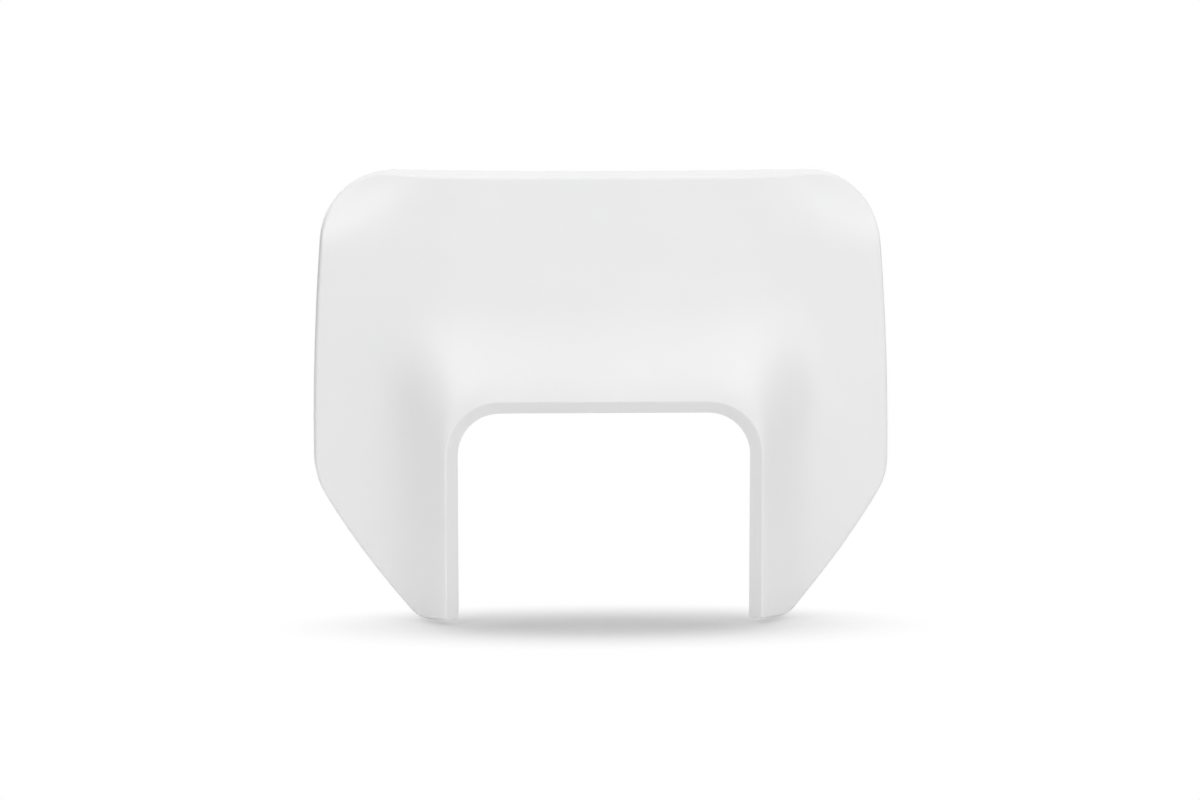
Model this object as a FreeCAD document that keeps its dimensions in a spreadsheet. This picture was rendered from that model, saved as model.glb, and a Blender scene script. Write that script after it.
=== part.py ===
import FreeCAD, Part
import math
import os
import Sketcher

# Headlight mask: one moulded shell with a hood round an opening that is open at the foot.
# Millimetres. X to the right as seen from the front, Y to the back, Z up.
# The origin is the middle of the four screw bosses, on the plane where the bosses end.

SIZES = {
    # Outline seen from the front, on the plane of the origin
    "outline_half_width": 129.9,
    "outline_top": 100.9,
    "outline_foot": 98.8,
    "shoulder_radius": 33.7,
    "shoulder_middle": 92.2,
    "hip_radius": 32.6,
    "hip_drop": 26.0,
    "chin_radius": 322.0,
    "foot_radius": 15.4,
    "foot_middle": 76.4,
    # Shield
    "shield_reach": 39.0,
    "shield_bow": 10.0,
    "shield_lean": 4.0,
    "shield_crown": 3.0,
    "corner_roll": 12.0,
    "corner_roll_across": 60.0,
    "corner_roll_width": 43.0,
    "corner_roll_up": 64.0,
    "corner_roll_height": 35.0,
    "wall": 2.5,
    "flange_depth": 20.0,
    "flange_draft": 5.5,
    "edge_radius": 1.4,
    # Lamp opening and its lip
    "rim_half_width": 69.3,
    "rim_top": 2.9,
    "rim_radius": 24.0,
    "rim_reach": 58.5,
    "rim_edge_radius": 0.8,
    "lip_inset": 5.6,
    "lip_depth": 5.0,
    "lip_wall": 3.7,
    "foot_flare": 30.0,
    # Hood round the opening: distances from the rim, beside it, at the feet and above it
    "hood_fan": 66.0,
    "hood_side_foot_outer": 32.0,
    "hood_side_foot_inner": 4.0,
    "hood_side_brow_outer": 3.0,
    "hood_side_brow_inner": -3.0,
    "hood_low_foot_outer": 36.0,
    "hood_low_foot_inner": 2.0,
    "hood_low_brow_outer": 3.0,
    "hood_low_brow_inner": -3.0,
    "hood_top_foot_outer": 62.0,
    "hood_top_foot_inner": 18.0,
    "hood_top_brow_outer": 12.0,
    "hood_top_brow_inner": -5.0,
    # Screw bosses on the back
    "boss_spacing_across": 184.0,
    "boss_spacing_up": 84.0,
    "boss_diameter": 12.0,
    "pilot_diameter": 4.2,
    "pilot_depth": 16.0,
}

doc = FreeCAD.newDocument("headlight_mask")


def write_sheet():
    """Spreadsheet that holds every driving size under its own name."""
    sheet = doc.addObject("Spreadsheet::Sheet", "Sizes")
    for row, (name, value) in enumerate(SIZES.items(), start=1):
        sheet.set(f"A{row}", name)
        sheet.set(f"B{row}", str(value))
        sheet.setAlias(f"B{row}", name)
    doc.recompute()
    return sheet


sheet = write_sheet()


def size(name):
    return float(sheet.get(name))


# Front skin as a height over the front view

def smooth(t):
    """Step from 0 to 1 that leaves and arrives level."""
    t = min(max(t, 0.0), 1.0)
    return t * t * (3 - 2 * t)


def ramp(t):
    """Integral of the smooth step: 0 before it, then bending up into a straight slope of 1."""
    if t > 1:
        return t - 0.5
    t = max(t, 0.0)
    return t ** 3 - t ** 4 / 2


def plate(x, z):
    """Y of the plain plate that the shield is drawn over: bowed, leaning back and crowned."""
    bow = size("shield_bow") * (x / size("outline_half_width")) ** 2
    lean = math.tan(math.radians(size("shield_lean"))) * z
    crown = size("shield_crown") * (z / size("outline_top")) ** 2
    return -size("shield_reach") + bow + lean + crown


def shield(x, z):
    """Y of the shield without its hood: the plate with its top corners rolled back."""
    across = max(abs(x) - size("corner_roll_across"), 0.0) / size("corner_roll_width")
    up = max(z - size("corner_roll_up"), 0.0) / size("corner_roll_height")
    return plate(x, z) + size("corner_roll") * across ** 2 * up ** 2


def hood(x, z):
    """Share of the way from the shield to the rim plane: 0 on the plain shield, 1 at the top of the rim."""
    corner = size("rim_top") - size("rim_radius")
    across = max(abs(x) - (size("rim_half_width") - size("rim_radius")), 0.0)
    up = max(z - corner, 0.0)
    away = math.hypot(across, up) - size("rim_radius")
    top = smooth(math.atan2(up, across) / math.radians(size("hood_fan")))
    low = smooth((corner - z) / (corner + size("outline_foot")))

    def place(name):
        beside = (1 - low) * size("hood_side_" + name) + low * size("hood_low_" + name)
        return (1 - top) * beside + top * size("hood_top_" + name)

    foot_outer, foot_inner = place("foot_outer"), place("foot_inner")
    brow_outer, brow_inner = place("brow_outer"), place("brow_inner")
    rise = (foot_outer - foot_inner) * ramp((foot_outer - away) / (foot_outer - foot_inner))
    fall = (brow_outer - brow_inner) * ramp((brow_outer - away) / (brow_outer - brow_inner))
    return (rise - fall) / ((foot_outer + foot_inner) / 2 - (brow_outer + brow_inner) / 2)


def skin_point(x, z):
    bare = shield(x, z)
    return FreeCAD.Vector(x, bare + (-size("rim_reach") - bare) * hood(x, z), z)


def skin_normal(x, z):
    """Unit normal of the skin that points to the back."""
    step = 0.05
    along = skin_point(x + step, z) - skin_point(x - step, z)
    up = skin_point(x, z + step) - skin_point(x, z - step)
    return up.cross(along).normalize()


def stations(start, end, fine_start, fine_end, coarse=6.0, fine=2.5):
    """Places from start to end, close together where the skin bends sharply."""
    def spread(a, b, pitch):
        count = max(1, round((b - a) / pitch))
        return [a + (b - a) * i / count for i in range(count)]
    before = spread(start, fine_start, coarse)
    after = spread(fine_end, end, coarse)
    return before + spread(fine_start, fine_end, fine) + after + [end]


def surface_face(rows):
    surface = Part.BSplineSurface()
    surface.interpolate(rows)
    return surface.toShape()


def skin_face(depth):
    """Face that lies depth behind the front skin, wider than the outline on every side."""
    half, low, high = size("outline_half_width") + 10, -size("outline_foot") - 10, size("outline_top") + 10
    right = stations(0.0, half, size("rim_half_width") - 12, size("rim_half_width") + 33)
    across = [-x for x in reversed(right[1:])] + right
    up = stations(low, high, size("rim_top") - 12, size("rim_top") + 63)
    return surface_face([[skin_point(x, z) + skin_normal(x, z) * depth for z in up] for x in across])


def back_face():
    """Face through the back edge of the flange, which follows the plain plate."""
    depth, steps = size("flange_depth"), 8
    half, low, high = size("outline_half_width") + 10, -size("outline_foot") - 10, size("outline_top") + 10
    across = [half * (2 * i / steps - 1) for i in range(steps + 1)]
    up = [low + (high - low) * i / steps for i in range(steps + 1)]
    return surface_face([[FreeCAD.Vector(x, plate(x, z) + depth, z) for z in up] for x in across])


def space_behind(name, face):
    """Space from the face back past the plane of the origin."""
    space = doc.addObject("Part::Feature", name)
    space.Shape = face.extrude(FreeCAD.Vector(0, size("rim_reach") + 20, 0))
    return space


# Sketched prisms

def front_sketch(body, ahead):
    """Sketch that faces the front, on the plane that lies ahead of the origin by the formula given."""
    sketch = body.newObject("Sketcher::SketchObject", body.Name + "_sketch")
    plane = next(f for f in body.Origin.OriginFeatures if f.Role == "XZ_Plane")
    sketch.AttachmentSupport = [(plane, "")]
    sketch.MapMode = "FlatFace"
    sketch.setExpression("AttachmentOffset.Base.z", ahead)
    return sketch


def drive(sketch, name, formula, *constraint):
    """Add a dimension whose value comes from the sheet."""
    index = sketch.addConstraint(Sketcher.Constraint(*constraint))
    sketch.renameConstraint(index, name)
    sketch.setExpression("Constraints." + name, formula)


def line(start, end):
    return Part.LineSegment(FreeCAD.Vector(*start, 0), FreeCAD.Vector(*end, 0))


def arc(centre, radius, start, end):
    circle = Part.Circle(FreeCAD.Vector(*centre, 0), FreeCAD.Vector(0, 0, 1), radius)
    return Part.ArcOfCircle(circle, start, end)


def bridge(upper, upper_radius, lower, lower_radius, radius):
    """Middle of the large arc that runs smoothly from one corner arc to the next one below it."""
    gap = math.dist(upper, lower)
    to_upper, to_lower = radius - upper_radius, radius - lower_radius
    along = (to_upper ** 2 - to_lower ** 2 + gap ** 2) / (2 * gap)
    away = math.sqrt(to_upper ** 2 - along ** 2)
    ux, uz = (lower[0] - upper[0]) / gap, (lower[1] - upper[1]) / gap
    return upper[0] + along * ux + away * uz, upper[1] + along * uz - away * ux


def outline_arcs():
    """Middle, radius, upper and lower bearing of each arc down the right side of the outline."""
    half = size("outline_half_width")
    radius = {corner: size(corner + "_radius") for corner in ("shoulder", "hip", "chin", "foot")}
    shoulder = (size("shoulder_middle"), size("outline_top") - radius["shoulder"])
    hip = (half - radius["hip"], -size("hip_drop"))
    foot = (size("foot_middle"), -size("outline_foot") + radius["foot"])
    # The flank stands upright where it meets the hip, so their middles are level
    inward, height = half - shoulder[0], shoulder[1] - hip[1]
    bend = radius["shoulder"]
    radius["flank"] = (inward ** 2 + height ** 2 - bend ** 2) / (2 * (inward - bend))
    flank = (half - radius["flank"], hip[1])
    chin = bridge(hip, radius["hip"], foot, radius["foot"], radius["chin"])
    middles = {"shoulder": shoulder, "flank": flank, "hip": hip, "chin": chin, "foot": foot}

    def bearing(of, seen_from):
        return math.atan2(of[1] - seen_from[1], of[0] - seen_from[0])

    below_flank = [0.0, bearing(hip, chin), bearing(foot, chin), -math.pi / 2]
    bearings = [math.pi / 2, bearing(shoulder, flank)] + below_flank
    return [(name, middles[name], radius[name], upper, lower)
            for name, upper, lower in zip(middles, bearings, bearings[1:])]


def outline_body(name, inset):
    """Prism over the outline that narrows to the front by the draft. Inset is a sheet name or empty."""
    body = doc.addObject("PartDesign::Body", name)
    sketch = front_sketch(body, "0")
    less = size(inset) if inset else 0.0
    less_formula = f" - Sizes.{inset}" if inset else ""
    top, foot = size("outline_top") - less, -size("outline_foot") + less
    across, foot_across = size("shoulder_middle"), size("foot_middle")
    top_line = sketch.addGeometry(line((-across, top), (across, top)))
    foot_line = sketch.addGeometry(line((foot_across, foot), (-foot_across, foot)))
    sketch.addConstraint(Sketcher.Constraint("Horizontal", top_line))
    sketch.addConstraint(Sketcher.Constraint("Horizontal", foot_line))
    drive(sketch, "top", "Sizes.outline_top" + less_formula, "DistanceY", -1, 1, top_line, 1, top)
    drive(sketch, "foot", f"-(Sizes.outline_foot{less_formula})", "DistanceY", -1, 1, foot_line, 1, foot)
    for side, sign in (("right", 1), ("left", -1)):
        # Arcs run anticlockwise: the upper end is the second point on the right, the first on the left
        upper_end, lower_end = (2, 1) if sign > 0 else (1, 2)
        last, last_end = top_line, upper_end
        pieces = {}
        for corner, middle, radius, upper, lower in outline_arcs():
            ends = (lower, upper) if sign > 0 else (math.pi - upper, math.pi - lower)
            piece = sketch.addGeometry(arc((sign * middle[0], middle[1]), radius - less, *ends))
            pieces[corner] = piece
            sketch.addConstraint(Sketcher.Constraint("Tangent", last, last_end, piece, upper_end))
            if corner != "flank":
                drive(sketch, f"{corner}_radius_{side}", f"Sizes.{corner}_radius{less_formula}",
                      "Radius", piece, radius - less)
            last, last_end = piece, lower_end
        sketch.addConstraint(Sketcher.Constraint("Tangent", last, last_end, foot_line, lower_end))
        sketch.addConstraint(Sketcher.Constraint("Horizontal", pieces["flank"], 3, pieces["hip"], 3))
        hip_across, hip_height = size("outline_half_width") - size("hip_radius"), -size("hip_drop")
        drive(sketch, "shoulder_" + side, f"{sign} * Sizes.shoulder_middle",
              "DistanceX", -1, 1, pieces["shoulder"], 3, sign * across)
        drive(sketch, "hip_" + side, f"{sign} * (Sizes.outline_half_width - Sizes.hip_radius)",
              "DistanceX", -1, 1, pieces["hip"], 3, sign * hip_across)
        drive(sketch, "hip_height_" + side, "-Sizes.hip_drop",
              "DistanceY", -1, 1, pieces["hip"], 3, hip_height)
        drive(sketch, "foot_" + side, f"{sign} * Sizes.foot_middle",
              "DistanceX", -1, 1, pieces["foot"], 3, sign * foot_across)
    pad = body.newObject("PartDesign::Pad", name + "_pad")
    pad.Profile = sketch
    pad.setExpression("Length", "Sizes.rim_reach + 10")
    pad.setExpression("TaperAngle", "-Sizes.flange_draft")
    return body


def opening_body(name, grow):
    """Prism over the opening that narrows to the back at the lip's slant. Grow is a sheet name or empty."""
    body = doc.addObject("PartDesign::Body", name)
    lead = 10
    sketch = front_sketch(body, f"Sizes.rim_reach + {lead}")
    more = lead * size("lip_inset") / size("lip_depth") + (size(grow) if grow else 0.0)
    more_formula = f" + {lead} * Sizes.lip_inset / Sizes.lip_depth" + (f" + Sizes.{grow}" if grow else "")
    half, top = size("rim_half_width") + more, size("rim_top") + more
    radius, low = size("rim_radius") + more, -size("outline_foot") - 40
    right = sketch.addGeometry(line((half, low), (half, top - radius)))
    right_arc = sketch.addGeometry(arc((half - radius, top - radius), radius, 0, math.pi / 2))
    top_line = sketch.addGeometry(line((half - radius, top), (radius - half, top)))
    left_arc = sketch.addGeometry(arc((radius - half, top - radius), radius, math.pi / 2, math.pi))
    left = sketch.addGeometry(line((-half, top - radius), (-half, low)))
    low_line = sketch.addGeometry(line((-half, low), (half, low)))
    chain = [right, right_arc, top_line, left_arc, left]
    for before, after in zip(chain, chain[1:]):
        sketch.addConstraint(Sketcher.Constraint("Tangent", before, 2, after, 1))
    sketch.addConstraint(Sketcher.Constraint("Coincident", left, 2, low_line, 1))
    sketch.addConstraint(Sketcher.Constraint("Coincident", low_line, 2, right, 1))
    sketch.addConstraint(Sketcher.Constraint("Vertical", right))
    sketch.addConstraint(Sketcher.Constraint("Horizontal", low_line))
    drive(sketch, "right_edge", "Sizes.rim_half_width" + more_formula, "DistanceX", -1, 1, right, 1, half)
    drive(sketch, "left_edge", f"-(Sizes.rim_half_width{more_formula})", "DistanceX", -1, 1, left, 1, -half)
    drive(sketch, "top_edge", "Sizes.rim_top" + more_formula, "DistanceY", -1, 1, top_line, 1, top)
    drive(sketch, "low_edge", "-Sizes.outline_foot - 40", "DistanceY", -1, 1, low_line, 1, low)
    drive(sketch, "right_radius", "Sizes.rim_radius" + more_formula, "Radius", right_arc, radius)
    drive(sketch, "left_radius", "Sizes.rim_radius" + more_formula, "Radius", left_arc, radius)
    pad = body.newObject("PartDesign::Pad", name + "_pad")
    pad.Profile = sketch
    pad.Reversed = True
    pad.setExpression("Length", f"Sizes.lip_depth + {lead}")
    pad.setExpression("TaperAngle", "-atan(Sizes.lip_inset / Sizes.lip_depth)")
    return body


# Operations that join the prisms and slabs

def operation(kind, name, base, tool):
    """Part::Cut or Part::Common of two objects."""
    result = doc.addObject(kind, name)
    result.Base = base
    result.Tool = tool
    doc.recompute()
    return result


def front_face(shape):
    """The face of the front skin: the largest free-form face that looks forward."""
    free = [f for f in shape.Faces if isinstance(f.Surface, Part.BSplineSurface)]
    return min(free, key=lambda f: f.CenterOfMass.y - f.Area / 1000)


def rounded(name, base, radius_name, wanted):
    """Round the edges of the front skin that the test picks."""
    shape = base.Shape
    skin_edges = front_face(shape).Edges
    radius = size(radius_name)
    picked = [
        index
        for index, edge in enumerate(shape.Edges, start=1)
        if any(edge.isSame(other) for other in skin_edges) and wanted(edge.CenterOfMass)
    ]
    result = doc.addObject("Part::Fillet", name)
    result.Base = base
    result.Edges = [(index, radius, radius) for index in picked]
    doc.recompute()
    return result


def on_rim(point):
    near = 2.0
    return abs(point.x) < size("rim_half_width") + near and point.z < size("rim_top") + near


def make_blank():
    """Outline filled solid from the front skin to the back edge of the flange, its front edge rounded."""
    space = space_behind("space_behind_skin", skin_face(0.0))
    front = operation("Part::Common", "front", outline_body("outline_prism", ""), space)
    blank = operation("Part::Cut", "blank", front, space_behind("space_behind_flange", back_face()))
    return rounded("blank_rounded", blank, "edge_radius", lambda point: True)


def make_hollow():
    """Space inside the shell, clear of the lip."""
    space = space_behind("space_behind_wall", skin_face(size("wall")))
    hollow = operation("Part::Common", "hollow", outline_body("hollow_prism", "wall"), space)
    return operation("Part::Cut", "hollow_round_lip", hollow, opening_body("lip_prism", "lip_wall"))


def foot_gap():
    """Gap between the feet behind the lip, flaring to the back so that each foot ends in a sloping web."""
    gap = doc.addObject("Part::Wedge", "foot_gap")
    front_half = "(Sizes.rim_half_width - Sizes.lip_inset + Sizes.lip_wall)"
    back_half = f"({front_half} + Sizes.foot_flare)"
    gap.setExpression("Ymin", "Sizes.lip_depth - Sizes.rim_reach")
    gap.setExpression("Ymax", "0")
    gap.setExpression("Xmin", "-" + front_half)
    gap.setExpression("Xmax", front_half)
    gap.setExpression("X2min", "-" + back_half)
    gap.setExpression("X2max", back_half)
    for low, high in (("Zmin", "Zmax"), ("Z2min", "Z2max")):
        gap.setExpression(low, "-Sizes.outline_foot - 20")
        gap.setExpression(high, "-Sizes.outline_foot + 20")
    doc.recompute()
    return gap


def upright_cylinders(name, diameter, front):
    """Four cylinders along Y at the places of the screws, whose length is the front formula."""
    posts = []
    for across in (-1, 1):
        for up in (-1, 1):
            post = doc.addObject("Part::Cylinder", f"{name}_{len(posts) + 1}")
            post.setExpression("Radius", f"{diameter} / 2")
            post.setExpression("Height", front)
            post.Placement.Rotation = FreeCAD.Rotation(FreeCAD.Vector(1, 0, 0), 90)
            post.setExpression("Placement.Base.x", f"{across} * Sizes.boss_spacing_across / 2")
            post.setExpression("Placement.Base.z", f"{up} * Sizes.boss_spacing_up / 2")
            posts.append(post)
    group = doc.addObject("Part::MultiFuse", name)
    group.Shapes = posts
    doc.recompute()
    return group


def make_bosses():
    """Screw bosses that grow out of the middle of the wall."""
    posts = upright_cylinders("boss_posts", "Sizes.boss_diameter", "Sizes.rim_reach")
    space = space_behind("space_behind_mid_wall", skin_face(size("wall") / 2))
    return operation("Part::Common", "bosses", posts, space)


def make_mask():
    shell = operation("Part::Cut", "shell", make_blank(), make_hollow())
    opened = operation("Part::Cut", "opened_shell", shell, opening_body("opening_prism", ""))
    parted = operation("Part::Cut", "parted_shell", opened, foot_gap())
    edged = rounded("edged_shell", parted, "rim_edge_radius", on_rim)
    joined = doc.addObject("Part::MultiFuse", "shell_with_bosses")
    joined.Shapes = [edged, make_bosses()]
    doc.recompute()
    pilots = upright_cylinders("pilot_holes", "Sizes.pilot_diameter", "Sizes.pilot_depth")
    mask = operation("Part::Cut", "mask", joined, pilots)
    mask.Label = "headlight_mask"
    return mask


mask = make_mask()

for item in doc.Objects:
    if "Invalid" in item.State or "Error" in item.State:
        raise RuntimeError("not built: " + item.Name)
if mask.Shape.isNull() or not mask.Shape.isValid() or len(mask.Shape.Solids) != 1:
    raise RuntimeError("the mask is not one valid solid")

os.makedirs("parts", exist_ok=True)
mask.Shape.exportStep("parts/headlight_mask.step")
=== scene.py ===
import math

import bpy
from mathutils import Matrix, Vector


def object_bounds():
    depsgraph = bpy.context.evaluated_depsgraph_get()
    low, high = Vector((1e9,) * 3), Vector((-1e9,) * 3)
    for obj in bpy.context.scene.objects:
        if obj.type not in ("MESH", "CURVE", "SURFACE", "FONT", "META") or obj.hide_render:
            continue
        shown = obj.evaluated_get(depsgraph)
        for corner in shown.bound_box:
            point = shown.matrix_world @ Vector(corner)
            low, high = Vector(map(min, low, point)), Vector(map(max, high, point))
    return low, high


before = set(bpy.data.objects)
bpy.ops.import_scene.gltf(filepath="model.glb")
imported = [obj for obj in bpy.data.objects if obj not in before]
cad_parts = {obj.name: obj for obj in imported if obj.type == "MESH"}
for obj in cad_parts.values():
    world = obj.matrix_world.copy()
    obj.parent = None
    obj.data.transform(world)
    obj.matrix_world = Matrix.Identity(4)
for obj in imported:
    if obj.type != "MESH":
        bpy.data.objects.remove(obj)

cad_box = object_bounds()
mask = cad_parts["headlight_mask"]

# Camera at the photograph's viewing angle: metres and degrees, lens and sensor in millimetres
CAMERA_TARGET = Vector((-0.00098, -0.029, -0.00018))
CAMERA_AZIMUTH = -1.92
CAMERA_ELEVATION = 7.5
CAMERA_DISTANCE = 1.3
CAMERA_LENS = 88.05
CAMERA_SENSOR = 36.0
CAMERA_NEAREST = 0.01
CAMERA_FARTHEST = 100.0

# Distance of the lamps from the camera's target, and strength of the even light from all round
LIGHT_DISTANCE = 1.6
WORLD_LIGHT = 0.29

# Strength of the white behind the object, and the span of +Y over which reflections fade into it
BACKDROP_WHITE = 1.0
BACKDROP_START = -0.2
BACKDROP_END = 0.3

# Floor just below the object: its half side, and the grey that light bounces off
FLOOR_GAP = 0.0005
FLOOR_HEIGHT = cad_box[0].z - FLOOR_GAP
FLOOR_REACH = 10.0
FLOOR_GREY = 0.85

# Oval patch of floor that shows the real shadow on a painted shadow, a darker grey oval that fades into
# white, with painted light added: half width, half depth, middle in Y, grey and added emission
PATCH_WIDTH = 0.152
PATCH_DEPTH = 0.053
PATCH_MIDDLE = -0.059
SHADOW_AND_PAINTED_SHADE_GREY = 0.63
PAINTED_LIGHT_GLOW = 0.1
# Share of the way from the middle of the patch to its edge where it starts to fade into white
PATCH_FADE = 0.22


def direction(azimuth, elevation):
    """Unit vector from the object towards a viewer at these angles."""
    turn = math.radians(azimuth)
    rise = math.radians(elevation)
    return Vector((math.sin(turn) * math.cos(rise), -math.cos(turn) * math.cos(rise), math.sin(rise)))


def aim(thing, target):
    thing.rotation_euler = (target - thing.location).to_track_quat("-Z", "Y").to_euler()


def add_object(name, data):
    thing = bpy.data.objects.new(name, data)
    bpy.context.scene.collection.objects.link(thing)
    return thing


def make_camera():
    lens = bpy.data.cameras.new("camera")
    lens.sensor_width = CAMERA_SENSOR
    lens.lens = CAMERA_LENS
    lens.clip_start = CAMERA_NEAREST
    lens.clip_end = CAMERA_FARTHEST
    camera = add_object("camera", lens)
    camera.location = CAMERA_TARGET + direction(CAMERA_AZIMUTH, CAMERA_ELEVATION) * CAMERA_DISTANCE
    aim(camera, CAMERA_TARGET)
    bpy.context.scene.camera = camera


def grey(level):
    return (level, level, level, 1)


def node_tools(owner):
    """Empties the node tree of a material or world. Gives functions that link its sockets and add nodes."""
    owner.use_nodes = True
    tree = owner.node_tree
    tree.nodes.clear()

    def add(kind, **values):
        made = tree.nodes.new("ShaderNode" + kind)
        for socket, value in values.items():
            made.inputs[socket.replace("_", " ")].default_value = value
        return made

    return tree.links.new, add


def mixed(tools, share, first, second):
    """Shader that goes from the first to the second as the share goes from 0 to 1."""
    link, add = tools
    mix = add("MixShader")
    link(share, mix.inputs["Fac"])
    link(first, mix.inputs[1])
    link(second, mix.inputs[2])
    return mix.outputs["Shader"]


def white_plastic():
    """Smooth moulded white plastic: faint flow mottle in the colour, fine grain in gloss and surface."""
    material = bpy.data.materials.new("white_plastic")
    link, add = node_tools(material)
    place = add("TexCoord")
    flow = add("TexNoise", Scale=14.0, Detail=3.0, Roughness=0.5)
    grain = add("TexNoise", Scale=900.0, Detail=2.0, Roughness=0.5)
    colour = add("ValToRGB")
    darker, lighter = colour.color_ramp.elements
    darker.position = 0.3
    darker.color = (0.785, 0.787, 0.788, 1)
    lighter.position = 0.7
    lighter.color = (0.805, 0.805, 0.804, 1)
    gloss = add("MapRange", To_Min=0.31, To_Max=0.37)
    bump = add("Bump", Strength=0.04, Distance=0.0002)
    surface = add("BsdfPrincipled", IOR=1.47)
    output = add("OutputMaterial")
    link(place.outputs["Object"], flow.inputs["Vector"])
    link(place.outputs["Object"], grain.inputs["Vector"])
    link(flow.outputs["Fac"], colour.inputs["Fac"])
    link(grain.outputs["Fac"], gloss.inputs["Value"])
    link(grain.outputs["Fac"], bump.inputs["Height"])
    link(colour.outputs["Color"], surface.inputs["Base Color"])
    link(gloss.outputs["Result"], surface.inputs["Roughness"])
    link(bump.outputs["Normal"], surface.inputs["Normal"])
    link(surface.outputs["BSDF"], output.inputs["Surface"])
    return material


def floor_with_painted_shadow():
    """Floor that is plain white beyond a patch under the object. In the patch the camera sees the real
    shadow on a darker grey painted shadow, lifted by painted light.
    """
    material = bpy.data.materials.new("floor_with_painted_shadow")
    tools = node_tools(material)
    link, add = tools
    place = add("TexCoord")
    patch = add("Mapping", Scale=(1 / PATCH_WIDTH, 1 / PATCH_DEPTH, 1))
    patch.inputs["Location"].default_value = (0, -PATCH_MIDDLE / PATCH_DEPTH, 0)
    reach = add("VectorMath")
    reach.operation = "LENGTH"
    beyond = add("MapRange", From_Min=PATCH_FADE, From_Max=1.0)
    beyond.interpolation_type = "SMOOTHSTEP"
    seen = add("LightPath")
    plain = add("BsdfDiffuse", Color=grey(FLOOR_GREY))
    # Painted shadow: a grey darker than the floor, seen by the camera only, so the oval shows darker even
    # where lit; the real shadow falls on it too
    shadow_and_painted_shade = add("BsdfDiffuse", Color=grey(SHADOW_AND_PAINTED_SHADE_GREY))
    # Painted light: emission added in the oval to make the shadow there lighter
    painted_light = add("Emission", Color=grey(1), Strength=PAINTED_LIGHT_GLOW)
    shadow_with_painted_light = add("AddShader")
    white = add("Emission", Color=grey(1), Strength=BACKDROP_WHITE)
    output = add("OutputMaterial")
    link(place.outputs["Object"], patch.inputs["Vector"])
    link(patch.outputs["Vector"], reach.inputs[0])
    link(reach.outputs["Value"], beyond.inputs["Value"])
    link(shadow_and_painted_shade.outputs["BSDF"], shadow_with_painted_light.inputs[0])
    link(painted_light.outputs["Emission"], shadow_with_painted_light.inputs[1])
    shown = mixed(tools, beyond.outputs["Result"], shadow_with_painted_light.outputs["Shader"], white.outputs["Emission"])
    by_camera = mixed(tools, seen.outputs["Is Camera Ray"], plain.outputs["BSDF"], shown)
    link(by_camera, output.inputs["Surface"])
    return material


def make_floor():
    mesh = bpy.data.meshes.new("floor")
    signs = [(-1, -1), (1, -1), (1, 1), (-1, 1)]
    corners = [(x * FLOOR_REACH, y * FLOOR_REACH, 0) for x, y in signs]
    mesh.from_pydata(corners, [], [(0, 1, 2, 3)])
    mesh.materials.append(floor_with_painted_shadow())
    floor = add_object("floor", mesh)
    floor.location.z = FLOOR_HEIGHT


def make_world():
    """Dim even light from all round, and a white backdrop for the camera and for reflections towards +Y."""
    world = bpy.data.worlds.new("surroundings")
    tools = node_tools(world)
    link, add = tools
    seen = add("LightPath")
    place = add("TexCoord")
    axes = add("SeparateXYZ")
    behind = add("MapRange", From_Min=BACKDROP_START, From_Max=BACKDROP_END)
    behind.interpolation_type = "SMOOTHSTEP"
    dim = add("Background", Color=grey(1), Strength=WORLD_LIGHT).outputs["Background"]
    backdrop = add("Background", Color=grey(1), Strength=BACKDROP_WHITE).outputs["Background"]
    output = add("OutputWorld")
    link(place.outputs["Generated"], axes.inputs["Vector"])
    link(axes.outputs["Y"], behind.inputs["Value"])
    reflected = mixed(tools, behind.outputs["Result"], dim, backdrop)
    unseen = mixed(tools, seen.outputs["Is Glossy Ray"], dim, reflected)
    shown = mixed(tools, seen.outputs["Is Camera Ray"], unseen, backdrop)
    link(shown, output.inputs["Surface"])
    bpy.context.scene.world = world


def soft_light(name, azimuth, elevation, width, power, reflected=True):
    """Square lamp that shines on the object and, where wanted, shows in its gloss."""
    light = bpy.data.lights.new(name, "AREA")
    light.size = width
    light.energy = power
    lamp = add_object(name, light)
    lamp.visible_glossy = reflected
    lamp.location = CAMERA_TARGET + direction(azimuth, elevation) * LIGHT_DISTANCE
    aim(lamp, CAMERA_TARGET)


def make_lights():
    # Azimuth and elevation in degrees, width in metres, power in watts
    soft_light("overhead", 180, 83, 0.5, 9.9, reflected=False)
    soft_light("front", 0, 12, 1.0, 4.4)
    soft_light("left_front", -45, 14, 1.0, 2.5)
    soft_light("right_front", 45, 14, 1.0, 4.8)
    soft_light("left_high", -50, 45, 0.8, 4.3)
    soft_light("right_high", 50, 45, 0.8, 3.2)
    soft_light("left_back", -120, 40, 1.0, 1.9)
    soft_light("right_back", 120, 40, 1.0, 0.9)


make_camera()
make_world()
make_floor()
make_lights()
mask.data.materials.clear()
mask.data.materials.append(white_plastic())
bpy.context.scene.view_settings.view_transform = "Standard"
